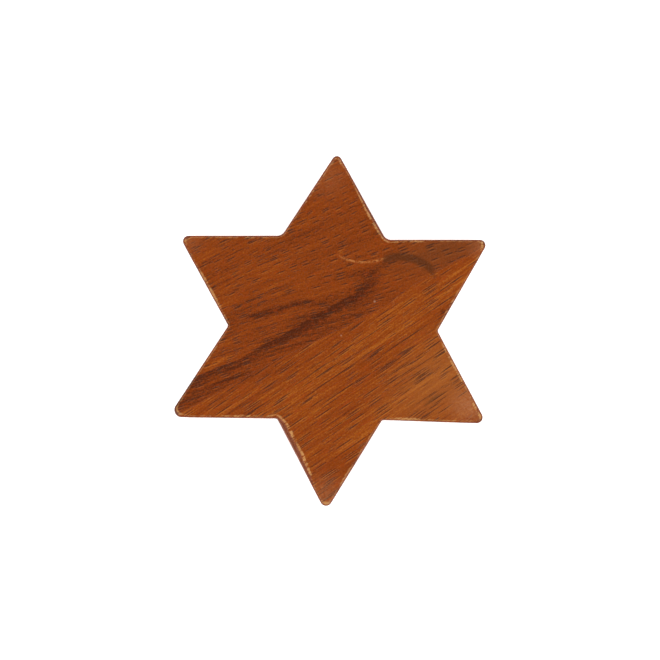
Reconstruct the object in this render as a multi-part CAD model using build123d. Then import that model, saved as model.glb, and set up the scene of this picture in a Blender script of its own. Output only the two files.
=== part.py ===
"""Six-pointed wooden star burr: two star boards over six rhombic points that only move together.

The points slide outward on dovetail rails glued to both boards. Each rail runs up a shallow
slope, so the top board rises as the points leave. A dowel glued in each point slides in its
neighbour, so no point can move unless all six do. Row frame: millimetres, +Z up, origin in the
plane of the underside on the axis where the points meet, one star point towards +Y.
"""

from build123d import *
import math
import os

# ---- Driving dimensions ----------------------------------------------------------------------
THICKNESS = 30.0  # both boards and the layer of points between them
NOTCH_ROUND = 0.8  # radius of each inner corner, seen from above
SOFT_NOTCH_ROUND = 2.5  # the same, for the two inner corners beside the north point
ARRIS_ROUND = 0.6  # radius of the long edges round the two outer faces
SEAM_CHAMFER = 0.25  # eased edge on both sides of every seam

SLOPE = 0.12  # rise of the sliding faces for each unit outward
BOARD_AT_CENTRE = 4.5  # thickness of a board where its six sliding faces meet
FACE_GAP = 0.10  # clearance between a point and each board
SIDE_GAP = 0.15  # clearance between two neighbouring points
INNER_FLAT = 6.0  # distance from the star's axis to the blunt inner end of a point

RAIL_START = 9.0  # a rail's inner end, from the star's axis
RAIL_END = 28.0  # a rail's outer end, from the star's axis
RAIL_NECK = 6.0  # rail width at the board's face
RAIL_HEIGHT = 3.2  # how far the dovetail stands out of the board
RAIL_ROOT = 2.2  # how deep the rail is let into the board
DOVETAIL_ANGLE = 14.0  # flank angle of the dovetail, in degrees
RAIL_GAP = 0.10  # clearance between a rail and its groove
GROOVE_OVERRUN = 0.6  # groove length past the rail's outer end

DOWEL_DIAMETER = 5.0
DOWEL_FROM_AXIS = 22.0  # from the star's axis to a dowel, along the seam that it crosses
DOWEL_GLUED = 7.0  # length glued into its own point
DOWEL_SLIDING = 22.0  # length that slides in the neighbouring point
DOWEL_GLUE_GAP = 0.02  # radial clearance in the glued socket
DOWEL_SLIDE_GAP = 0.08  # radial clearance in the sliding hole
HOLE_OVERRUN = 0.8  # hole depth past the dowel's end
DOWEL_CHAMFER = 0.5

# Compass name of each point and its direction, in degrees from +X.
POINTS = {
    "north": 90,
    "northwest": 150,
    "southwest": 210,
    "south": 270,
    "southeast": 330,
    "northeast": 30,
}

# The outline is cut by hand once the puzzle is together, so it isn't quite regular. For each point:
# distance of its sharp tip from the axis, lean in degrees from its true direction, and the radius
# that rounds it. For the inner corner anticlockwise of each point: its distance from the axis.
TIPS = {
    "north": (50.6, -0.2, 1.4),
    "northwest": (51.2, 0.3, 1.6),
    "southwest": (53.4, -0.1, 2.1),
    "south": (52.6, -0.6, 1.7),
    "southeast": (52.0, -0.2, 1.6),
    "northeast": (51.7, 0.8, 1.5),
}
NOTCHES = {
    "north": 30.1,
    "northwest": 29.7,
    "southwest": 30.3,
    "south": 29.9,
    "southeast": 30.1,
    "northeast": 29.6,
}

# ---- Derived dimensions ----------------------------------------------------------------------
SECTOR = 360.0 / len(POINTS)
HALF_SECTOR = SECTOR / 2
NEAREST_NOTCH = min(NOTCHES.values())
MID_Z = THICKNESS / 2
CORE_HALF = MID_Z - BOARD_AT_CENTRE  # half the height of the layer of points, on the axis
DOVETAIL_FLARE = RAIL_HEIGHT * math.tan(math.radians(DOVETAIL_ANGLE))
BEYOND = 100.0  # larger than anything in plan


def polar(radius, degrees):
    """Point in the plan at that distance and direction from the axis."""
    angle = math.radians(degrees)
    return (radius * math.cos(angle), radius * math.sin(angle))


def corner_at(face, place):
    """The corner of a plan nearest to a place."""
    return min(face.vertices(), key=lambda v: math.hypot(v.X - place[0], v.Y - place[1]))


def star_face():
    """Outline of the star, with every corner rounded."""
    corners = []
    for name, direction in POINTS.items():
        distance, lean, radius = TIPS[name]
        corners.append((polar(distance, direction + lean), radius))
        beside_north = name in ("north", "northeast")
        radius = SOFT_NOTCH_ROUND if beside_north else NOTCH_ROUND
        corners.append((polar(NOTCHES[name], direction + HALF_SECTOR), radius))
    outline = make_face(Polyline(*[place for place, _ in corners], close=True))
    for place, radius in corners:
        outline = fillet(corner_at(outline, place), radius)
    return outline


def sliding_plane(side, degrees=0.0, gap=0.0):
    """Plane on which a point slides: side +1 is under the top board, -1 over the bottom one.

    Its normal leads out of the layer of points, and gap moves it into that layer.
    """
    across, along = polar(SLOPE, degrees)
    return Plane(origin=(0, 0, MID_Z + side * (CORE_HALF - gap)), z_dir=(across, along, side))


def layer_of_points():
    """Upper half of the space that the six points fill: a blunt six-sided pyramid."""
    space = extrude(Circle(BEYOND), THICKNESS)
    for direction in POINTS.values():
        space = split(space, bisect_by=sliding_plane(1, direction), keep=Keep.BOTTOM)
    return space


def rail_profile(clearance=0.0):
    """Section of a rail, or of its groove, with the board's face along the sketch's X axis."""
    neck = RAIL_NECK / 2 + clearance
    crest = neck + DOVETAIL_FLARE
    top = RAIL_HEIGHT + clearance
    return make_face(
        Polyline(
            (-neck, -RAIL_ROOT),
            (neck, -RAIL_ROOT),
            (neck, 0),
            (crest, top),
            (-crest, top),
            (-neck, 0),
            close=True,
        )
    )


def along_slope(section, start, end):
    """Extrudes a rail section over the bottom board's +X slope, between two distances."""
    lift = MID_Z - CORE_HALF + SLOPE * start
    place = Plane(origin=(start, 0, lift), x_dir=(0, 1, 0), z_dir=(1, 0, SLOPE))
    return extrude(place * section, (end - start) * math.hypot(1, SLOPE))


def mirror_up(shape):
    """The same shape for the top board."""
    return mirror(shape, about=Plane(origin=(0, 0, MID_Z)))


def bottom_rail():
    """Dovetail rail of the bottom board, towards +X."""
    return along_slope(rail_profile(), RAIL_START, RAIL_END)


def is_outer_seam(edge):
    """True for an edge where an outer wall meets a sliding face."""
    middle = edge.center()
    at_wall = math.hypot(middle.X, middle.Y) > NEAREST_NOTCH - NOTCH_ROUND
    level = abs(edge.tangent_at(0.5).Z) < 0.5
    return at_wall and level and middle.Z > BOARD_AT_CENTRE


def bottom_board():
    """Star board with six sliding faces on top, a housing for each rail and a rounded arris."""
    board = extrude(star_face(), MID_Z) - mirror_up(layer_of_points())
    seams = [e for e in board.edges() if is_outer_seam(e)]
    board = chamfer(seams, SEAM_CHAMFER)
    arris = board.edges().filter_by_position(Axis.Z, 0, 0)
    board = fillet(arris, ARRIS_ROUND)
    for direction in POINTS.values():
        board -= bottom_rail().rotate(Axis.Z, direction)
    return board


def dowel_axis(seam):
    """Line across a seam of the +X point: seam +1 is its left side, -1 its right side.

    It starts on the seam's own plane and leads into the point.
    """
    start = polar(DOWEL_FROM_AXIS, seam * HALF_SECTOR)
    inward = polar(1.0, seam * (HALF_SECTOR - 90))
    return Plane(origin=(*start, MID_Z), z_dir=(*inward, 0))


def dowel():
    """Dowel of the +X point, glued into its left side and reaching into the next point."""
    place = dowel_axis(1).offset(-DOWEL_SLIDING)
    pin = extrude(place * Circle(DOWEL_DIAMETER / 2), DOWEL_SLIDING + DOWEL_GLUED)
    return chamfer(pin.edges().filter_by(GeomType.CIRCLE), DOWEL_CHAMFER)


def point_plan(direction):
    """Plan of a point, turned towards +X: the star between two seams, less its sharp inner end."""
    apex_x = SIDE_GAP / 2 / math.sin(math.radians(HALF_SECTOR))
    spread = math.tan(math.radians(HALF_SECTOR))
    inner_y = (INNER_FLAT - apex_x) * spread
    outer_y = (BEYOND - apex_x) * spread
    wedge = make_face(
        Polyline(
            (INNER_FLAT, -inner_y),
            (BEYOND, -outer_y),
            (BEYOND, outer_y),
            (INNER_FLAT, inner_y),
            close=True,
        )
    )
    return star_face().rotate(Axis.Z, -direction) & wedge


def star_point(direction):
    """A point, turned towards +X, with two dovetail grooves, a socket and a sliding hole."""
    block = extrude(point_plan(direction), THICKNESS)
    for side in (1, -1):
        block = split(block, bisect_by=sliding_plane(side, gap=FACE_GAP), keep=Keep.BOTTOM)
    walls = [e for e in block.edges() if e.center().X > NEAREST_NOTCH * 0.8]
    seams = [e for e in walls if abs(e.tangent_at(0.5).Z) < 0.5]
    block = chamfer(seams, SEAM_CHAMFER)
    groove = along_slope(rail_profile(RAIL_GAP), 0, RAIL_END + GROOVE_OVERRUN)
    block = block - groove - mirror_up(groove)
    socket = Circle(DOWEL_DIAMETER / 2 + DOWEL_GLUE_GAP)
    hole = Circle(DOWEL_DIAMETER / 2 + DOWEL_SLIDE_GAP)
    block -= extrude(dowel_axis(1) * socket, DOWEL_GLUED)
    block -= extrude(dowel_axis(-1) * hole, DOWEL_SLIDING + HOLE_OVERRUN)
    return block


def write(node, shape):
    """Writes one named piece of the puzzle."""
    export_step(shape, f"parts/{node}.step")


os.makedirs("parts", exist_ok=True)

board = bottom_board()
write("bottom_star_board", board)
write("top_star_board", mirror_up(board))

rail, pin = bottom_rail(), dowel()
for name, direction in POINTS.items():
    write(f"point_{name}", star_point(direction).rotate(Axis.Z, direction))
    write(f"dowel_{name}", pin.rotate(Axis.Z, direction))
    write(f"bottom_rail_{name}", rail.rotate(Axis.Z, direction))
    write(f"top_rail_{name}", mirror_up(rail).rotate(Axis.Z, direction))
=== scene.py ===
"""Looks of the star burr puzzle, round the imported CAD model. Metres, +Z up, one star point to +Y.

The outside of a real one is sanded and varnished after it is put together. So one dense blank of
the whole star, worn by hand along its edges, is cut to each board and point of the CAD model.
"""

import math

import bmesh
import bpy
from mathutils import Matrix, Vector, kdtree, noise


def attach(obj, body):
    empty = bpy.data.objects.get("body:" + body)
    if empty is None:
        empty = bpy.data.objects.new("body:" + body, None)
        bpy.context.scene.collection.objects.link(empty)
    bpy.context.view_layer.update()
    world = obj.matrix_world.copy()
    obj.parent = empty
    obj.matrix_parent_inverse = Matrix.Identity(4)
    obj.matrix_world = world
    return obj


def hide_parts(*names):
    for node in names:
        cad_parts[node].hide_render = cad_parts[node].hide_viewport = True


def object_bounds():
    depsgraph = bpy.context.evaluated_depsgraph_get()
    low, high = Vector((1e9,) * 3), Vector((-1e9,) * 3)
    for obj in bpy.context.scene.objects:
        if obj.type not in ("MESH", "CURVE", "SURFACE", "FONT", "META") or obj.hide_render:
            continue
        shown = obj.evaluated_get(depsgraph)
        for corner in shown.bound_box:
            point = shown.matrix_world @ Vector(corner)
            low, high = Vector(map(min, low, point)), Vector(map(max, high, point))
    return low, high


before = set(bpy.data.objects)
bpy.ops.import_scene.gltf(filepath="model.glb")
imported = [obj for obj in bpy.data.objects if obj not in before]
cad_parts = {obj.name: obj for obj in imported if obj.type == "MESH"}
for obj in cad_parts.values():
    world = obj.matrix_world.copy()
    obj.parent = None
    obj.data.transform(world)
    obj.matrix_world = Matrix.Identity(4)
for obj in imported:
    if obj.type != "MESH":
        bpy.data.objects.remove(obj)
cad_low, cad_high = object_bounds()

# ---- Sizes, in metres ------------------------------------------------------------------------
MM = 0.001
TOP = cad_high.z
TOP_MM = TOP / MM  # the same in millimetres, as the materials have it
SAME_PLACE = 0.001 * MM  # vertices nearer than this are one
SKIN = 0.02 * MM  # how far the blank's flat faces lie inside the CAD model's
SEAM_DEPTH = 0.45 * MM  # cut faces nearer than this to the outside are stained with it
SHARP_ANGLE = math.radians(28)  # edges that turn more than this aren't shaded smooth

HALF_SECTOR = 30  # half the angle between two neighbouring points, in degrees

# The hand-cut outline in millimetres and degrees, as the CAD model has it. For each point: its
# direction, its sharp tip's distance from the axis, its lean and the radius that rounds it; then
# the distance and radius of the inner corner anticlockwise of it.
OUTLINE = {
    "north": (90, 50.6, -0.2, 1.5, 30.1, 2.5),
    "northwest": (150, 51.2, 0.3, 1.7, 29.7, 0.8),
    "southwest": (210, 53.4, -0.1, 2.2, 30.3, 0.8),
    "south": (270, 52.6, -0.6, 1.8, 29.9, 0.8),
    "southeast": (330, 52.0, -0.2, 1.8, 30.1, 0.8),
    "northeast": (30, 51.7, 0.8, 1.7, 29.6, 2.5),
}
SIDE_DISTANCE = 26.0  # from the axis to the line of a side, on average, in millimetres

# Worn places on the top edge, in millimetres: x, y, reach and how much rounder the edge is there;
# then how far the stain is rubbed off, from 0 to 1.
WORN_PLACES = (
    (-10.8, -30.5, 8.0, 1.5, 1.0),  # south point, left side
    (-7.0, -38.0, 8.0, 1.0, 1.0),
    (11.6, 32.6, 11.0, 0.4, 0.75),  # north point, right side
    (-7.0, 39.5, 7.0, 0.0, 0.5),
    (0.3, 48.5, 3.5, 0.4, 0.9),
    (-21.3, -26.1, 12.0, 0.15, 0.8),  # southwest point, lower side
    (-43.4, -25.8, 3.5, 0.5, 0.8),
    (-35.1, 9.9, 11.0, 0.1, 0.8),  # northwest point, left side
    (-42.7, 24.3, 3.0, 0.3, 0.7),
    (-27.0, 25.6, 12.0, 0.0, 0.5),
    (42.8, 24.8, 3.0, 0.4, 1.0),  # northeast point
    (21.8, 25.4, 9.0, 0.0, 0.6),
    (35.6, -9.8, 10.0, 0.1, 0.7),  # southeast point, right side
    (42.0, -22.0, 5.0, 0.25, 0.9),
    (22.5, -25.6, 7.0, 0.1, 0.8),
    (5.2, -41.8, 4.0, 0.1, 0.7),  # south point, right side and tip
    (-0.6, -50.3, 2.5, 0.3, 1.0),
)
MOST_ROUND = 2.0  # largest radius of the top edge, in millimetres


# ---- The blank: the whole star, worn by hand --------------------------------------------------
def polar(radius, degrees):
    """Point in the plan at that distance and direction from the axis."""
    angle = math.radians(degrees)
    return Vector((radius * math.cos(angle), radius * math.sin(angle)))


def plan_corners():
    """(corner, rounding radius) for every tip and inner corner, anticlockwise."""
    corners = []
    for direction, reach, lean, tip_round, notch, notch_round in OUTLINE.values():
        corners.append((polar(reach * MM, direction + lean), tip_round * MM))
        corners.append((polar(notch * MM, direction + HALF_SECTOR), notch_round * MM))
    return corners


def corner_arc(before, corner, after, radius, steps=10):
    """(point, inward normal) along the arc that rounds one corner of an anticlockwise outline."""
    way_in = (corner - before).normalized()
    way_out = (after - corner).normalized()
    turn = -way_in.angle_signed(way_out)
    side = math.copysign(1, turn)
    normal = Vector((-way_in.y, way_in.x))
    start = corner - way_in * radius * math.tan(abs(turn) / 2)
    centre = start + side * radius * normal
    arc = []
    for step in range(steps + 1):
        angle = turn * step / steps
        across = Vector((
            normal.x * math.cos(angle) - normal.y * math.sin(angle),
            normal.x * math.sin(angle) + normal.y * math.cos(angle),
        ))
        arc.append((centre - side * radius * across, across))
    return arc


def straight_run(start, end, spacing):
    """Evenly spaced points between two arcs, without the two ends."""
    point, normal = end
    steps = max(1, round((point - start).length / spacing))
    return [(start.lerp(point, step / steps), normal) for step in range(1, steps)]


def plan_outline(spacing=0.55 * MM):
    """(point, inward normal) all round the star, close enough together to carry small wear."""
    corners = plan_corners()
    outline = []
    for index, (corner, radius) in enumerate(corners):
        before = corners[index - 1][0]
        after, _ = corners[(index + 1) % len(corners)]
        arc = corner_arc(before, corner, after, radius)
        if outline:
            outline += straight_run(outline[-1][0], arc[0], spacing)
        outline += arc
    return outline + straight_run(outline[-1][0], outline[0], spacing)


def unit_noise(x, y, z=0.0):
    """Smooth noise from 0 to 1 at a place given in its own wavelengths."""
    return 0.5 + 0.5 * noise.noise(Vector((x, y, z)))


def nearness(point, place):
    """1 at the middle of a worn place and 0 beyond its reach."""
    away = math.hypot(point.x / MM - place[0], point.y / MM - place[1]) / place[2]
    return max(0.0, 1 - away * away)


def hand_inset(point, height):
    """How far sanding has left the wall inside the CAD model's wall."""
    x, y, z = point.x / MM, point.y / MM, height / MM
    broad = unit_noise(x / 16, y / 16, 3.1)
    ripple = unit_noise(x / 2.6, y / 2.6, z / 9)
    return (0.03 + 0.08 * broad + 0.03 * ripple) * MM


def arris_radius(point, is_top):
    """Radius of the worn edge round the top or bottom face at one place."""
    x, y = point.x / MM, point.y / MM
    layer = 1.7 if is_top else 8.3
    radius = 0.58 + 0.22 * unit_noise(x / 11, y / 11, layer)
    radius += 0.08 * unit_noise(x / 1.7, y / 1.7, layer)
    if is_top:
        nick = 0.7 + 0.6 * unit_noise(x / 1.6, y / 1.6)
        radius += sum(place[3] * nearness(point, place) * nick for place in WORN_PLACES)
    return min(radius, MOST_ROUND) * MM


def rubbed(point, is_top):
    """How far the stain is rubbed off the edge at one place, from 0 to 1."""
    x, y = point.x / MM, point.y / MM
    everywhere = 0.1 + 0.5 * unit_noise(x / 6, y / 6, 4.9 if is_top else 2.2)
    if not is_top:
        return everywhere
    return max(everywhere, *(place[4] * nearness(point, place) ** 0.5 for place in WORN_PLACES))


def ring_at(outline, height, inset):
    """One ring of the blank; inset gives each point's distance inside the outline."""
    return [(*(point + normal * inset(point)), height(point)) for point, normal in outline]


def face_rings(edge):
    """Rings of a flat face, from near its middle out to its edge."""
    shares = (0.15, 0.35, 0.55, 0.72, 0.84, 0.92, 0.96, 0.98, 0.992)
    return [[(x * share, y * share, z) for x, y, z in edge] for share in shares]


def arris_rings(outline, is_top, steps=8):
    """Rings of the rounded edge, from the flat face to the wall."""
    face, down = (TOP - SKIN, -1) if is_top else (SKIN, 1)
    rings = []
    for step in range(steps + 1):
        angle = math.pi / 2 * step / steps
        rings.append(ring_at(
            outline,
            lambda p: face + down * arris_radius(p, is_top) * (1 - math.cos(angle)),
            lambda p: hand_inset(p, face) + arris_radius(p, is_top) * (1 - math.sin(angle)),
        ))
    return rings


def wall_rings(outline, steps=34):
    """Rings of the wall between the two rounded edges."""
    rings = []
    for step in range(1, steps):
        share = step / steps
        rings.append(ring_at(
            outline,
            lambda p: (TOP - SKIN - arris_radius(p, True)) * (1 - share)
            + (SKIN + arris_radius(p, False)) * share,
            lambda p: hand_inset(p, TOP * (1 - share)),
        ))
    return rings


def make_blank(outline):
    """The whole star as one closed mesh, with a worn edge round both faces."""
    top = arris_rings(outline, True)
    bottom = arris_rings(outline, False)[::-1]
    rings = face_rings(top[0]) + top + wall_rings(outline) + bottom + face_rings(bottom[-1])[::-1]
    mesh = bmesh.new()
    rows = [[mesh.verts.new(place) for place in ring] for ring in rings]
    for upper, lower in zip(rows, rows[1:]):
        for index in range(len(upper)):
            after = (index + 1) % len(upper)
            mesh.faces.new((upper[index], lower[index], lower[after], upper[after]))
    mesh.faces.new(rows[0])
    mesh.faces.new(rows[-1][::-1])
    bmesh.ops.recalc_face_normals(mesh, faces=mesh.faces)
    data = bpy.data.meshes.new("blank")
    mesh.to_mesh(data)
    mesh.free()
    return data


# ---- Cutting the blank to the CAD model's pieces ----------------------------------------------
class Surroundings:
    """Finds how deep inside the star's outline a place lies."""

    def __init__(self, outline):
        self.outline = outline
        self.tree = kdtree.KDTree(len(outline))
        for index, (point, _) in enumerate(outline):
            self.tree.insert(point.to_3d(), index)
        self.tree.balance()

    def depth(self, place):
        """The nearest outline point, and the distance inward from the outline there."""
        _, index, _ = self.tree.find((place.x, place.y, 0))
        point, normal = self.outline[index]
        return point, (place.xy - point).dot(normal)


def welded_copy(node):
    """A closed copy of a CAD node's mesh, to cut with."""
    mesh = bmesh.new()
    mesh.from_mesh(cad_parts[node].data)
    bmesh.ops.remove_doubles(mesh, verts=mesh.verts, dist=SAME_PLACE)
    data = bpy.data.meshes.new(f"{node}_cutter")
    mesh.to_mesh(data)
    mesh.free()
    return data


def new_object(name, data):
    """Puts a mesh, light or camera in the scene."""
    made = bpy.data.objects.new(name, data)
    bpy.context.scene.collection.objects.link(made)
    return made


def mark_surface(shape, surroundings):
    """Stains the eased seams, and stores how far in from the worn edge's line each vertex lies."""
    for polygon in shape.polygons:
        if surroundings.depth(polygon.center)[1] < SEAM_DEPTH:
            polygon.material_index = 0
    inward, worn = [], []
    for vertex in shape.vertices:
        point, depth = surroundings.depth(vertex.co)
        is_top = vertex.co.z > TOP / 2
        inward.append((depth - arris_radius(point, is_top)) / MM)
        worn.append(rubbed(point, is_top))
    shape.attributes.new("inward", "FLOAT", "POINT").data.foreach_set("value", inward)
    shape.attributes.new("worn", "FLOAT", "POINT").data.foreach_set("value", worn)


def intersection(piece, cutter):
    """Mesh of the part of a piece that lies inside a cutter."""
    cut = piece.modifiers.new("cut", "BOOLEAN")
    cut.operation = "INTERSECT"
    cut.solver = "MANIFOLD"
    cut.object = cutter
    evaluated = piece.evaluated_get(bpy.context.evaluated_depsgraph_get())
    shape = bpy.data.meshes.new_from_object(evaluated)
    piece.modifiers.remove(cut)
    return shape


def cut_from_blank(node, blank, surroundings, outer, inner):
    """The part of the blank inside a CAD node, varnished outside and raw where it is cut."""
    piece = new_object(f"{node}_wood", blank.copy())
    cutter = new_object(f"{node}_cutter", welded_copy(node))
    for made in (piece, cutter):
        made.data.materials.append(outer)
        made.data.materials.append(inner)
    for polygon in cutter.data.polygons:
        polygon.material_index = 1
    shape = intersection(piece, cutter)
    piece.data = shape
    bpy.data.objects.remove(cutter)
    mark_surface(shape, surroundings)
    shape.shade_smooth()
    shape.set_sharp_from_angle(angle=SHARP_ANGLE)
    return piece


# ---- Node graphs ------------------------------------------------------------------------------
class Graph:
    """Adds nodes to one material, each as a call that returns the new node's output."""

    def __init__(self, name):
        self.material = bpy.data.materials.new(name)
        self.material.use_nodes = True
        self.tree = self.material.node_tree
        self.shader = self.tree.nodes["Principled BSDF"]

    def put(self, value, socket):
        """Links an output to a socket, or sets the socket's own value."""
        if isinstance(value, bpy.types.NodeSocket):
            self.tree.links.new(value, socket)
        else:
            socket.default_value = value

    def node(self, kind, *values, **settings):
        """Adds a node: the values go to its sockets in order, the settings to its properties."""
        made = self.tree.nodes.new(kind)
        for key, setting in settings.items():
            setattr(made, key, setting)
        for value, socket in zip(values, made.inputs):
            self.put(value, socket)
        return made

    def math(self, operation, *values):
        """A number worked out from others."""
        return self.node("ShaderNodeMath", *values, operation=operation).outputs[0]

    def add(self, first, second):
        return self.math("ADD", first, second)

    def less(self, first, second):
        return self.math("SUBTRACT", first, second)

    def times(self, first, *others):
        """Product of two or more numbers."""
        for other in others:
            first = self.math("MULTIPLY", first, other)
        return first

    def vector(self, x, y, z):
        return self.node("ShaderNodeCombineXYZ", x, y, z).outputs[0]

    def parts(self, vector):
        """X, Y and Z of a vector."""
        return self.node("ShaderNodeSeparateXYZ", vector).outputs

    def shifted(self, place, offset):
        """The place with an offset added to it."""
        return self.node("ShaderNodeVectorMath", place, offset, operation="ADD").outputs[0]

    def relative_to(self, centre, place):
        """The place measured from a centre."""
        return self.node("ShaderNodeVectorMath", place, centre, operation="SUBTRACT").outputs[0]

    def distance(self, place, centre):
        apart = self.node("ShaderNodeVectorMath", place, centre, operation="DISTANCE")
        return apart.outputs["Value"]

    def millimetres(self):
        """The place on the piece in millimetres, in the frame that the whole puzzle shares."""
        place = self.node("ShaderNodeTexCoord").outputs["Object"]
        scaled = self.node("ShaderNodeVectorMath", place, operation="SCALE")
        scaled.inputs["Scale"].default_value = 1 / MM
        return scaled.outputs[0]

    def stored(self, name):
        """A number stored on the mesh."""
        return self.node("ShaderNodeAttribute", attribute_name=name).outputs["Fac"]

    def turned(self, place, degrees):
        """The place in a frame turned anticlockwise about +Z by that angle."""
        turned = self.node("ShaderNodeVectorRotate", place, rotation_type="Z_AXIS")
        turned.inputs["Angle"].default_value = math.radians(-degrees)
        return turned.outputs[0]

    def scaled(self, place, size, offset):
        """The place in steps of a size along each axis."""
        mapping = self.node("ShaderNodeMapping", place, vector_type="POINT")
        mapping.inputs["Location"].default_value = offset
        mapping.inputs["Scale"].default_value = tuple(1 / s for s in size)
        return mapping.outputs[0]

    def noise(self, place, detail, roughness, size, offset=(0, 0, 0)):
        """Noise from about 0.2 to 0.8 whose features have that size along each axis."""
        texture = self.node("ShaderNodeTexNoise", self.scaled(place, size, offset))
        texture.inputs["Scale"].default_value = 1.0
        texture.inputs["Detail"].default_value = detail
        texture.inputs["Roughness"].default_value = roughness
        return texture.outputs["Fac"]

    def dashes(self, grain, length, spacing, thickness, offset):
        """Spindles along the fibres, at most one to a cell of that length and spacing: 1 inside.

        The thickness is a share of the spacing, and each spindle has some of it by chance.
        """
        place = self.scaled(grain, (length, spacing, spacing), offset)
        cells = self.node("ShaderNodeTexVoronoi", place)
        cells.inputs["Scale"].default_value = 1.0
        chance = self.parts(cells.outputs["Color"])[0]
        reach = self.times(chance, thickness)
        return self.step(cells.outputs["Distance"], reach, self.times(reach, 0.5))

    def step(self, value, low, high):
        """0 at low, 1 at high and smooth between, whichever of the two is larger."""
        ramp = self.node("ShaderNodeMapRange", value, interpolation_type="SMOOTHSTEP")
        self.put(low, ramp.inputs["From Min"])
        self.put(high, ramp.inputs["From Max"])
        return ramp.outputs[0]

    def mix(self, share, first, second):
        """The first colour where the share is 0, and the second where it is 1."""
        mixed = self.node("ShaderNodeMix", data_type="RGBA")
        self.put(share, mixed.inputs[0])
        self.put(first, mixed.inputs[6])
        self.put(second, mixed.inputs[7])
        return mixed.outputs[2]

    def mix_vector(self, share, first, second):
        """The same for two vectors."""
        mixed = self.node("ShaderNodeMix", data_type="VECTOR")
        self.put(share, mixed.inputs[0])
        self.put(first, mixed.inputs[4])
        self.put(second, mixed.inputs[5])
        return mixed.outputs[1]

    def spot(self, place, centre, reach, core=0.0):
        """1 within core of a centre and 0 beyond reach."""
        return self.step(self.distance(place, centre), reach, core)

    def patch(self, place, centre, direction, length, width):
        """A soft oval patch along a direction in the plan: 1 in its middle and 0 outside."""
        local = self.turned(self.relative_to(centre, place), direction)
        in_half_axes = self.scaled(local, (length / 2, width / 2, width / 2), (0, 0, 0))
        return self.spot(in_half_axes, (0, 0, 0), 1.0)

    def finish(self, colour, roughness, height, depth):
        """Connects the shader; height is a bump map that depth, in millimetres, scales."""
        self.put(colour, self.shader.inputs["Base Color"])
        self.put(roughness, self.shader.inputs["Roughness"])
        bump = self.node("ShaderNodeBump")
        bump.inputs["Distance"].default_value = depth * MM
        self.put(height, bump.inputs["Height"])
        self.put(bump.outputs[0], self.shader.inputs["Normal"])
        return self.material


def linear(value):
    """A display value from 0 to 255 as linear light from 0 to 1."""
    if value > 10:
        return ((value / 255 + 0.055) / 1.055) ** 2.4
    return value / 255 / 12.92


def srgb(red, green, blue):
    """A shader colour from display values."""
    return (linear(red), linear(green), linear(blue), 1.0)


# ---- Materials --------------------------------------------------------------------------------
DARK_STAIN = srgb(80, 31, 5)
MID_STAIN = srgb(139, 60, 5)
LIGHT_STAIN = srgb(172, 93, 24)
RED_STAIN = srgb(156, 60, 8)
# golden wood with a painted sheen over it
GOLDEN_STAIN_AND_SHEEN = srgb(170, 102, 46)
BROWN_STAIN = srgb(114, 60, 24)
PORE = srgb(60, 22, 0)
# painted highlight: pale glints beside the pores
GLINT = srgb(194, 128, 76)
# scuffed varnish with a painted sheen
WORN_WOOD = srgb(210, 154, 94)
# darker stain on the rounded edge, with painted shade where the edge turns away
RIM_STAIN_AND_SHADE = srgb(98, 42, 0)
SHEEN_AND_SCUFF = srgb(186, 126, 86)
# painted highlight: a pale sparkle of the varnish on the flat faces
PAINTED_SPARKLE = srgb(198, 156, 132)
SMEAR = srgb(84, 42, 14)
SCRATCH = srgb(196, 124, 66)
RING_MARK = srgb(96, 44, 18)
GREY_NUB = srgb(112, 80, 62)
FLECK = srgb(190, 150, 124)
RAW_WOOD = srgb(176, 118, 76)
RAW_DARK = srgb(140, 84, 50)
RAW_PORE = srgb(96, 52, 30)
RAIL_WOOD = (srgb(222, 190, 146), srgb(196, 156, 108))  # pale and dark
DOWEL_WOOD = (srgb(214, 176, 126), srgb(188, 142, 92))

VARNISH_SPECULAR = 0.2
PORE_DEPTH = 0.02  # of the bump map, in millimetres

# Fibre directions in the plan, in degrees. The top face has two figures.
FIGURE_LINE = 31.3  # the line between them
LOWER_FIBRES = 35.3
UPPER_FIBRES = 25.5
RAW_FIBRES = 36  # inside a board

# Pores: length and spacing in millimetres, then thickness as a share of the spacing.
SHORT_PORES = (3.8, 0.38, 0.56)
LONG_PORES = (11.0, 0.48, 0.52)
RAW_PORES = (4.6, 0.55, 0.5)
# the glint beside each short pore is a painted highlight
GLINT_OFFSET = 0.34  # from a short pore to the glint beside it

# Tone of the top face, in millimetres and degrees: x, y, direction, length and width of a soft
# oval patch, then how much lighter (or, below 0, darker) the wood is there.
TONE_PATCHES = (
    (-4.0, 4.1, 32, 44, 8.0, -0.26),  # round the dark streak
    (9.9, 13.4, 48, 20, 8.0, -0.40),
    (6.3, 15.8, 22, 36, 14, -0.14),
    (-20.0, 4.5, 20, 32, 13, -0.14),
    (18.5, 20.4, 8, 16, 6.0, -0.30),
    (29.0, 23.5, 16, 34, 9.0, -0.20),
    (-13.0, 5.4, 15, 40, 3.4, -0.50),  # a thinner streak above it
    (-40.1, -20.0, 30, 20, 9.0, -0.16),  # southwest point
    (-28.7, -15.4, 16, 30, 5.5, -0.24),
    (-15.9, -13.1, 15, 18, 4.5, -0.14),
    (29.0, -19.6, 36, 9, 2.4, -0.60),  # small dark patches
    (31.2, 5.3, 60, 4, 2.2, -0.45),
    (4.5, -24.0, 34, 8, 1.8, -0.32),
    (24.0, -4.0, 34, 30, 18, 0.05),  # golden wood to the right
    (34.9, 16.0, 31, 26, 9.0, 0.08),
    (-1.0, -40.0, 60, 26, 20, -0.16),  # south point
    (2.0, -2.0, 32, 26, 8.0, -0.12),  # centre
    (-31.7, -10.1, 26, 16, 2.2, 0.35),  # a bright band beside the streak
    (2.3, 22.2, 40, 5, 4.0, 0.30),
)
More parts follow.
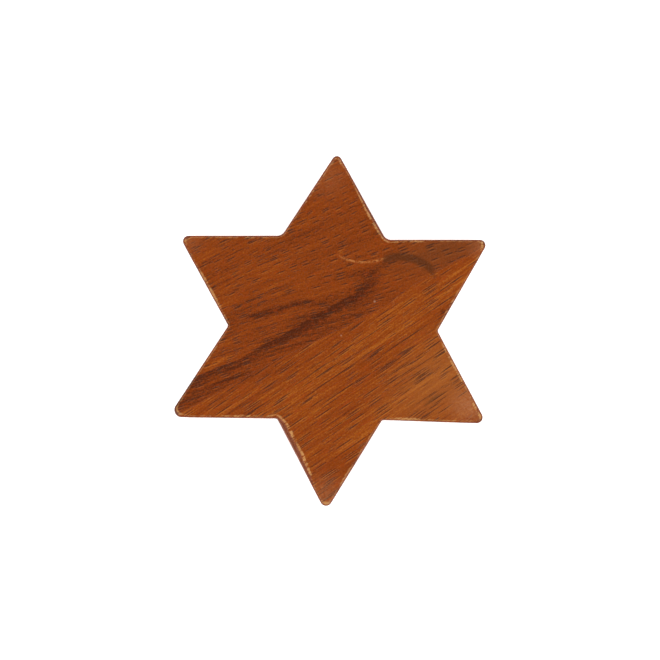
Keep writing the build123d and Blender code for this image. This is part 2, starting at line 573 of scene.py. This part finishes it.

# Where the varnish is scuffed pale and a sheen is painted on it, in millimetres: x, y and reach,
# then how strongly.
SHEEN_AND_SCUFF_SPOTS = (
    (39.8, -21.0, 8.5, 0.6),  # southeast tip
    (-0.8, -48.5, 10.0, 0.35),  # south tip
    (-2.5, 43.0, 9.0, 0.2),  # north point
    (-41.5, 24.5, 7.0, 0.2),  # northwest tip
    (41.5, 24.0, 5.0, 0.3),  # northeast tip
)
FLECKS = ((11.9, 7.9, 0.55), (2.6, -2.0, 0.4))  # x, y and reach of two pale flecks

# Marks along part of a circle, in millimetres: its centre and radius, half the mark's width, its
# range in X, and whether it lies on the upper half.
SMEAR_ARC = ((19.2, 8.0), 12.8, 1.7, (13.5, 29.9), True)
SCRATCH_ARC = ((8.2, 34.3), 15.3, 0.45, (1.0, 15.4), False)
RING_ARC = ((-0.4, 39.2), 3.3, 0.4, (-4.5, 1.5), False)


def two_figures(graph, place):
    """Grain frame of a star board, and the mask of its upper figure.

    Two figures meet along a line that sags a little across the star. In the frame returned, X runs
    along the fibres.
    """
    along, across, _ = graph.parts(graph.turned(place, FIGURE_LINE))
    dip = graph.times(graph.step(along, -22.0, 14.0), graph.step(along, 29.0, 15.0), 1.4)
    wobble = graph.times(graph.noise(graph.vector(along, 0.0, 0.0), 2, 0.5, (7, 1, 1)), 1.2)
    line = graph.less(graph.less(wobble, dip), graph.add(graph.times(along, 0.017), 0.9))
    upper = graph.step(graph.less(across, line), -0.15, 0.15)

    lower_x, lower_y, lower_z = graph.parts(graph.turned(place, LOWER_FIBRES))
    lower = graph.vector(graph.times(lower_x, 0.5), lower_y, lower_z)
    upper_x, upper_y, upper_z = graph.parts(graph.turned(place, UPPER_FIBRES))
    slope = graph.less(graph.times(graph.step(upper_y, 2.0, 32.0), 0.17), 0.12)
    swing = graph.times(slope, graph.add(upper_x, 14.0))
    ripple = graph.times(graph.math("SINE", graph.times(upper_x, 0.09)), 0.6)
    bent = graph.add(graph.less(upper_y, swing), ripple)
    higher = graph.vector(graph.add(upper_x, 90.0), graph.add(bent, 40.0), upper_z)
    return graph.mix_vector(upper, lower, higher), upper


def ring_frame(graph, grain):
    """The grain frame, leant over and drawn out in depth: growth rings slant down the walls."""
    x, y, z = graph.parts(grain)
    depth = graph.less(z, TOP_MM)
    leaning = graph.add(y, graph.times(depth, 0.4))
    return graph.vector(x, leaning, graph.add(graph.times(depth, 0.2), TOP_MM))


def flat_face(graph):
    """1 on the flat faces of the star and 0 on its walls."""
    return graph.step(graph.stored("inward"), -0.5, 0.0)


def ring_tone(graph, grain, flat, lined, shift):
    """Tone of the growth rings. The finest ones are fainter on the walls."""
    rings = ring_frame(graph, grain)
    broad = graph.noise(rings, 3, 0.55, (60, 4.2, 7), shift)
    streak = graph.noise(rings, 3, 0.6, (22, 0.9, 1.5), shift)
    fine = graph.less(graph.noise(rings, 3, 0.8, (1.3, 0.3, 0.3), shift), 0.5)
    fine = graph.times(fine, graph.add(graph.times(flat, 0.7), 0.5))
    bands = graph.noise(rings, 2, 0.6, (12, 0.5, 0.9), shift)
    tone = graph.add(graph.times(graph.add(broad, streak), 0.8), fine)
    return graph.add(tone, graph.times(graph.less(bands, 0.5), lined, 1.1))


def pore_layers(graph, grain, flat, lined, shift):
    """Pores from 0 to 1, and the painted glints (highlights) beside them on the flat faces."""
    dashes = graph.dashes(grain, *SHORT_PORES, shift)
    gaps = graph.step(graph.noise(grain, 1, 0.5, (1.4, 0.4, 0.4), shift), 0.32, 0.48)
    lines = graph.times(graph.dashes(grain, *LONG_PORES, (7.3, *shift[1:])), gaps)
    clusters = graph.step(graph.noise(grain, 1, 0.5, (15, 1.8, 3), shift), 0.2, 0.45)
    pores = graph.math("MAXIMUM", dashes, graph.times(lines, clusters, lined))
    beside = graph.shifted(grain, (0.0, GLINT_OFFSET, 0.0))
    glints = graph.times(graph.dashes(beside, *SHORT_PORES, shift), graph.less(1.0, pores), flat)
    return pores, glints


def grain_layers(graph, grain, lined, shift):
    """Tone about 0.5, pores from 0 to 1, and the painted pale glints (highlights) beside them.

    Where lined is 1, long thin pore lines join the short dashes.
    """
    flat = flat_face(graph)
    pores, glints = pore_layers(graph, grain, flat, lined, shift)
    # painted highlight: the glints also lighten the tone
    tone = graph.add(ring_tone(graph, grain, flat, lined, shift), graph.times(glints, 0.15))
    # painted shade: the walls come out 0.1 darker in tone than the flat faces
    tone = graph.add(tone, graph.times(flat, 0.1))
    return graph.less(tone, 0.44), pores, glints


def stain(graph, tone):
    """Colour of the stained wood between its pores."""
    colour = graph.mix(graph.step(tone, -0.3, 0.5), DARK_STAIN, MID_STAIN)
    return graph.mix(graph.step(tone, 0.45, 1.0), colour, LIGHT_STAIN)


def add_pores(graph, colour, pores, glints):
    """Dark pores with painted glints (highlights) beside them; the pores are fainter on the walls,
    where they are cut across.
    """
    # painted highlight beside the pores
    colour = graph.mix(graph.times(glints, 0.08), colour, GLINT)
    strength = graph.add(graph.times(flat_face(graph), 0.4), 0.4)
    return graph.mix(graph.times(pores, strength), colour, PORE)


def streak_tone(graph, place):
    """A dark streak out of the southwest point, crisp along its upper side and fading below."""
    along, across, z = graph.parts(graph.turned(place, FIGURE_LINE))
    across = graph.add(across, graph.times(graph.less(z, TOP_MM), 0.9))
    drift = graph.noise(graph.vector(along, 0.0, 0.0), 2, 0.5, (8, 1, 1), (4, 0, 0))
    wobble = graph.times(drift, 2.0)
    bend = graph.times(graph.step(along, -24.0, -44.0), 2.0)
    down = graph.less(graph.add(graph.add(wobble, bend), 4.5), across)
    core = graph.add(graph.times(graph.step(down, 3.2, 0.2), 0.65), 0.35)
    fade = graph.times(graph.step(down, -0.2, 0.25), graph.step(down, 7.5, 3.5))
    return graph.times(core, fade, graph.step(along, 22.0, 5.0), -0.54)


def patch_tone(graph, place, grain):
    """Change of tone that the patches of the top face add up to, ragged along the fibres."""
    drift = graph.noise(place, 2, 0.5, (7, 7, 7))
    ragged = graph.noise(grain, 2, 0.6, (9, 0.7, 0.9), (5, 3, 1))
    offset = graph.times(graph.less(drift, 0.5), 5.0)
    moved = graph.shifted(place, graph.vector(offset, offset, 0.0))
    total = streak_tone(graph, place)
    for x, y, direction, length, width, change in TONE_PATCHES:
        patch = graph.patch(moved, (x, y, TOP_MM), direction, length, width)
        total = graph.add(total, graph.times(patch, change))
    return graph.times(total, graph.add(graph.times(ragged, 1.6), 0.2))


def rub_edges(graph, colour, place, grain, shift):
    """Darkens the rounded edge with darker stain and painted shade, and bares pale wood along its
    inner line.
    """
    inward, worn = graph.stored("inward"), graph.stored("worn")
    _, _, z = graph.parts(place)
    from_face = graph.math("MINIMUM", z, graph.less(TOP_MM, z))
    at_edge = graph.step(from_face, 1.6, 0.5)
    fibres = graph.noise(grain, 2, 0.7, (5.0, 0.4, 0.4), shift)
    patchy = graph.noise(place, 2, 0.5, (2.4, 2.4, 2.4), shift)
    # darker stain and painted shade on the outer part of the rounded edge
    rim_stain_and_shade = graph.add(
        graph.times(graph.step(inward, -0.1, -0.5), 0.12),
        graph.times(graph.step(inward, -0.5, -1.1), 0.4),
    )
    colour = graph.mix(graph.times(rim_stain_and_shade, at_edge), colour, RIM_STAIN_AND_SHADE)
    width = graph.times(worn, graph.add(graph.times(fibres, 1.3), -0.1))
    away = graph.math("ABSOLUTE", graph.add(inward, 0.1))
    bare = graph.step(graph.add(fibres, patchy), 0.83, 1.12)
    line = graph.times(graph.step(away, width, graph.times(width, 0.3)), bare, at_edge)
    return graph.mix(graph.times(line, graph.add(graph.times(worn, 0.75), 0.1)), colour, WORN_WOOD)


def arc_mark(graph, place, centre, radius, half_width, x_range, upper_half):
    """Soft line along part of a circle."""
    x, y, _ = graph.parts(place)
    off_line = graph.less(graph.distance(graph.vector(x, y, 0.0), (*centre, 0.0)), radius)
    line = graph.step(graph.math("ABSOLUTE", off_line), half_width, half_width * 0.3)
    start, end = x_range
    ends = graph.times(graph.step(x, start, start + 1.0), graph.step(x, end, end - 2.5))
    middle = centre[1]
    half = graph.step(y, middle, middle + 1 if upper_half else middle - 1)
    return graph.times(line, ends, half)


def tint_top(graph, colour, place, upper):
    """Broad tints of the top face: golden wood with a painted sheen to the southeast, brown in the
    northeast point.
    """
    # golden wood and painted sheen to the southeast
    golden = graph.patch(place, (32.0, -13.0, TOP_MM), 40, 60, 34)
    colour = graph.mix(graph.times(golden, 0.45), colour, GOLDEN_STAIN_AND_SHEEN)
    brown = graph.patch(place, (31.0, 23.0, TOP_MM), 16, 46, 20)
    colour = graph.mix(graph.times(brown, upper, 0.6), colour, BROWN_STAIN)
    smear = arc_mark(graph, place, *SMEAR_ARC)
    return graph.mix(graph.times(smear, 0.75), colour, SMEAR)


def mark_top(graph, colour, place):
    """Marks that years of handling have left on the top face, and painted sheen on its varnish."""
    speckle = graph.noise(place, 2, 0.7, (0.7, 0.7, 0.7))
    scratch = arc_mark(graph, place, *SCRATCH_ARC)
    broken = graph.step(speckle, 0.3, 0.7)
    colour = graph.mix(graph.times(scratch, broken, 0.8), colour, SCRATCH)
    ring = arc_mark(graph, place, *RING_ARC)
    colour = graph.mix(graph.times(ring, 0.3), colour, RING_MARK)
    scuff = graph.times(graph.step(speckle, 0.1, 0.8), flat_face(graph))
    # painted sheen at the tips, speckled like scuffed varnish
    for x, y, reach, strength in SHEEN_AND_SCUFF_SPOTS:
        sheen_and_scuff = graph.spot(place, (x, y, TOP_MM), reach)
        colour = graph.mix(graph.times(sheen_and_scuff, scuff, strength), colour, SHEEN_AND_SCUFF)
    nub = graph.spot(place, (-44.3, -26.0, TOP_MM), 2.4)
    colour = graph.mix(graph.times(nub, 0.6), colour, GREY_NUB)
    for x, y, reach in FLECKS:
        fleck = graph.spot(place, (x, y, TOP_MM), reach)
        colour = graph.mix(graph.times(fleck, 0.5), colour, FLECK)
    return colour


def lined_share(graph, place, upper):
    """1 in the lower figure, and less in the upper one, the more so to the right."""
    x, _, _ = graph.parts(place)
    to_right = graph.step(x, -18.0, 0.0)
    return graph.less(1.0, graph.times(upper, graph.add(graph.times(to_right, 0.5), 0.2)))


def board_tone(graph, tone, place, grain, upper, is_top):
    """Adds mottling, the upper figure's darker tone and the patches of the top face."""
    mottle = graph.less(graph.noise(place, 1, 0.6, (0.5, 0.5, 0.5)), 0.5)
    tone = graph.add(tone, graph.times(mottle, graph.add(graph.times(flat_face(graph), 0.6), 0.2)))
    tone = graph.add(tone, graph.less(0.06, graph.times(upper, 0.18)))
    return graph.add(tone, patch_tone(graph, place, grain)) if is_top else tone


def paint_sparkle(graph, colour, place):
    """Paints a small pale sparkle over the flat faces: painted highlights of the varnish."""
    # painted highlight, in small pale spots
    sparkle_spots = graph.step(graph.noise(place, 1, 0.6, (0.4, 0.4, 0.4), (5, 5, 5)), 0.42, 0.75)
    return graph.mix(graph.times(sparkle_spots, flat_face(graph), 0.06), colour, PAINTED_SPARKLE)


def varnish(graph, colour, roughness, pores, glints):
    """Finishes a varnished material, whose pores are sunk a little."""
    graph.put(VARNISH_SPECULAR, graph.shader.inputs["Specular IOR Level"])
    height = graph.less(graph.times(glints, 0.3), pores)
    return graph.finish(colour, roughness, height, PORE_DEPTH)


def stain_shift(seed):
    """Where a stained piece's noises start."""
    return (seed, seed * 1.7, seed * 0.6)


def bare_shift(seed):
    """Where a bare piece's noises start."""
    return (seed, seed * 1.3, seed * 2.1)


def stained_board(name, seed, is_top):
    """Varnished outside of a star board: stained wood in two figures, with its marks and wear."""
    graph = Graph(name)
    place = graph.millimetres()
    shift = stain_shift(seed)
    grain, upper = two_figures(graph, place)
    lined = lined_share(graph, place, upper)
    tone, pores, glints = grain_layers(graph, grain, lined, shift)
    tone = board_tone(graph, tone, place, grain, upper, is_top)
    redder = graph.step(graph.noise(grain, 2, 0.6, (1.6, 0.7, 0.7), shift), 0.5, 0.75)
    colour = graph.mix(graph.times(redder, 0.5), stain(graph, tone), RED_STAIN)
    if is_top:
        colour = tint_top(graph, colour, place, upper)
    colour = add_pores(graph, colour, pores, glints)
    colour = paint_sparkle(graph, colour, place)
    if is_top:
        colour = mark_top(graph, colour, place)
    colour = rub_edges(graph, colour, place, grain, shift)
    smears = graph.noise(place, 3, 0.6, (5, 5, 5), shift)
    roughness = graph.add(graph.times(smears, 0.16), graph.add(0.22, graph.times(pores, 0.2)))
    return varnish(graph, colour, roughness, pores, glints)


def stained_point(name, direction, seed):
    """Varnished outer walls of a point, with fibres along the point."""
    graph = Graph(name)
    grain = graph.turned(graph.millimetres(), direction)
    tone, pores, glints = grain_layers(graph, grain, lined=0.8, shift=stain_shift(seed))
    colour = add_pores(graph, stain(graph, tone), pores, glints)
    return varnish(graph, colour, roughness=0.34, pores=pores, glints=glints)


def regular_edge_distance(graph, place):
    """Distance inward from the outline of a regular star, in millimetres."""
    x, y, _ = graph.parts(place)
    angle = graph.less(graph.math("ARCTAN2", y, x), math.radians(HALF_SECTOR))
    folded = graph.math("PINGPONG", angle, math.radians(HALF_SECTOR))
    to_side = graph.math("COSINE", graph.less(math.radians(2 * HALF_SECTOR), folded))
    flat = graph.vector(x, y, 0.0)
    radius = graph.node("ShaderNodeVectorMath", flat, operation="LENGTH").outputs["Value"]
    return graph.less(SIDE_DISTANCE, graph.times(radius, to_side))


def raw_wood(name, direction, seed):
    """Unvarnished inside of a board or point, with stain drawn in from the outside."""
    graph = Graph(name)
    place = graph.millimetres()
    grain = graph.turned(place, direction)
    shift = bare_shift(seed)
    streak = graph.noise(grain, 3, 0.6, (24, 1.1, 1.6), shift)
    fine = graph.noise(grain, 2, 0.6, (3.0, 0.25, 0.3), shift)
    pores = graph.dashes(grain, *RAW_PORES, shift)
    tone = graph.add(streak, graph.times(fine, 0.4))
    colour = graph.mix(graph.step(tone, 0.5, 0.95), RAW_DARK, RAW_WOOD)
    colour = graph.mix(graph.times(pores, 0.55), colour, RAW_PORE)
    drawn_in = graph.add(graph.times(streak, 3.0), 0.2)
    bleed = graph.step(regular_edge_distance(graph, place), drawn_in, graph.times(drawn_in, 0.3))
    colour = graph.mix(graph.times(bleed, 0.75), colour, MID_STAIN)
    graph.put(0.3, graph.shader.inputs["Specular IOR Level"])
    height = graph.less(graph.times(fine, 0.4), pores)
    return graph.finish(colour, roughness=0.68, height=height, depth=0.03)


def plain_hardwood(name, wood, direction, seed):
    """Bare pale hardwood of a rail or dowel."""
    light, dark = wood
    graph = Graph(name)
    grain = graph.turned(graph.millimetres(), direction)
    shift = bare_shift(seed)
    streak = graph.noise(grain, 3, 0.6, (20, 0.8, 0.8), shift)
    flecks = graph.step(graph.noise(grain, 1, 0.5, (1.6, 0.2, 0.2), shift), 0.6, 0.7)
    colour = graph.mix(graph.step(streak, 0.35, 0.65), light, dark)
    colour = graph.mix(graph.times(flecks, 0.35), colour, dark)
    graph.put(0.35, graph.shader.inputs["Specular IOR Level"])
    height = graph.less(streak, flecks)
    return graph.finish(colour, roughness=0.5, height=height, depth=0.015)


# ---- Pieces -----------------------------------------------------------------------------------
RAIL_EASE = 0.15 * MM  # width of a rail's eased edges
DOWEL_EASE = 0.08 * MM
EASED_ANGLE = math.radians(30)  # edges that turn more than this are eased


def add_board(node, body, blank, surroundings, seed):
    """One star board, in place of its CAD node."""
    outer = stained_board(f"{node}_stain", seed, node.startswith("top"))
    inner = raw_wood(f"{node}_raw", RAW_FIBRES, seed)
    piece = cut_from_blank(node, blank, surroundings, outer, inner)
    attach(piece, body)
    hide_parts(node)


def add_point(name, blank, surroundings, seed):
    """One point, in place of its CAD node."""
    node = f"point_{name}"
    direction = OUTLINE[name][0]
    outer = stained_point(f"{node}_stain", direction, seed)
    inner = raw_wood(f"{node}_raw", direction, seed)
    piece = cut_from_blank(node, blank, surroundings, outer, inner)
    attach(piece, f"{node}_assembly")
    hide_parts(node)


def ease_edges(node, width):
    """Rounds a CAD node's edges a little, without changing its mesh."""
    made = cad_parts[node]
    weld = made.modifiers.new("weld", "WELD")
    weld.merge_threshold = SAME_PLACE
    bevel = made.modifiers.new("ease", "BEVEL")
    bevel.width = width
    bevel.segments = 2
    bevel.limit_method = "ANGLE"
    bevel.angle_limit = EASED_ANGLE
    bevel.harden_normals = True


def dress(node, material, ease):
    """Gives a CAD node that stays in view its wood."""
    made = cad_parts[node]
    made.data.materials.clear()
    made.data.materials.append(material)
    ease_edges(node, ease)


def add_fittings(name, seed):
    """Wood for the two rails and the dowel of one point."""
    direction = OUTLINE[name][0]
    across_seam = direction + HALF_SECTOR - 90
    rail = plain_hardwood(f"rail_wood_{name}", RAIL_WOOD, direction, seed)
    dowel = plain_hardwood(f"dowel_wood_{name}", DOWEL_WOOD, across_seam, seed)
    dress(f"bottom_rail_{name}", rail, RAIL_EASE)
    dress(f"top_rail_{name}", rail, RAIL_EASE)
    dress(f"dowel_{name}", dowel, DOWEL_EASE)


# ---- Floor, light and camera ------------------------------------------------------------------
FLOOR_RADIUS = 2.5
FLOOR_Z = -0.1 * MM
FLOOR_GLOW = 0.75  # light of its own, so that the floor stays white to the corners
WORLD_GLOW = 0.12

SOFT_BOXES = 4  # evenly round the puzzle
FIRST_BOX = 45  # direction of the first, in degrees
BOX_ELEVATION = 36  # in degrees
BOX_DISTANCE = 1.2
BOX_SIZE = 0.8
BOX_POWER = 6.5

LENS, SENSOR = 100.0, 36.0  # focal length and sensor width, in the camera's own millimetres
FRAME_WIDTH = 187.7 * MM  # what the picture spans at the height of the top face
CAMERA_X, CAMERA_Y = -0.6 * MM, -0.52 * MM
CAMERA_ROLL = math.radians(1.45)


def add_floor():
    """A plain white disc just under the puzzle."""
    place = (0, 0, FLOOR_Z)
    bpy.ops.mesh.primitive_circle_add(
        vertices=96, radius=FLOOR_RADIUS, fill_type="NGON", location=place
    )
    floor = bpy.context.object
    floor.name = "floor"
    graph = Graph("pale_floor")
    graph.put((0.9, 0.9, 0.9, 1), graph.shader.inputs["Base Color"])
    graph.put(0.9, graph.shader.inputs["Roughness"])
    graph.put((1, 1, 1, 1), graph.shader.inputs["Emission Color"])
    graph.put(FLOOR_GLOW, graph.shader.inputs["Emission Strength"])
    graph.put(0.0, graph.shader.inputs["Specular IOR Level"])
    floor.data.materials.append(graph.material)


def add_light(name, azimuth):
    """A square soft light that looks at the puzzle from that direction."""
    data = bpy.data.lights.new(name, "AREA")
    data.size = BOX_SIZE
    data.energy = BOX_POWER
    light = new_object(name, data)
    elevation = math.radians(BOX_ELEVATION)
    flat = polar(BOX_DISTANCE * math.cos(elevation), azimuth)
    light.location = (flat.x, flat.y, BOX_DISTANCE * math.sin(elevation))
    light.rotation_mode = "QUATERNION"
    light.rotation_quaternion = light.location.to_track_quat("Z", "Y")


def add_world():
    """An even white surround."""
    world = bpy.data.worlds.new("studio")
    world.use_nodes = True
    background = world.node_tree.nodes["Background"]
    background.inputs["Color"].default_value = (1, 1, 1, 1)
    background.inputs["Strength"].default_value = WORLD_GLOW
    bpy.context.scene.world = world


def add_camera():
    """Straight down, turned a little, as the star doesn't stand quite upright in the picture."""
    data = bpy.data.cameras.new("camera")
    data.lens = LENS
    data.sensor_width = SENSOR
    camera = new_object("camera", data)
    camera.location = (CAMERA_X, CAMERA_Y, TOP + FRAME_WIDTH * LENS / SENSOR)
    camera.rotation_euler = (0, 0, CAMERA_ROLL)
    bpy.context.scene.camera = camera


# ---- Build ------------------------------------------------------------------------------------
outline = plan_outline()
surroundings = Surroundings(outline)
blank = make_blank(outline)
add_board("bottom_star_board", "base", blank, surroundings, 3.0)
add_board("top_star_board", "cap", blank, surroundings, 0.0)
for number, name in enumerate(OUTLINE):
    add_point(name, blank, surroundings, 11.0 + 5 * number)
    add_fittings(name, 7.0 + 3 * number)

add_floor()
add_world()
for number in range(SOFT_BOXES):
    add_light(f"soft_box_{number}", FIRST_BOX + 360 / SOFT_BOXES * number)
add_camera()
bpy.context.scene.view_settings.view_transform = "Standard"
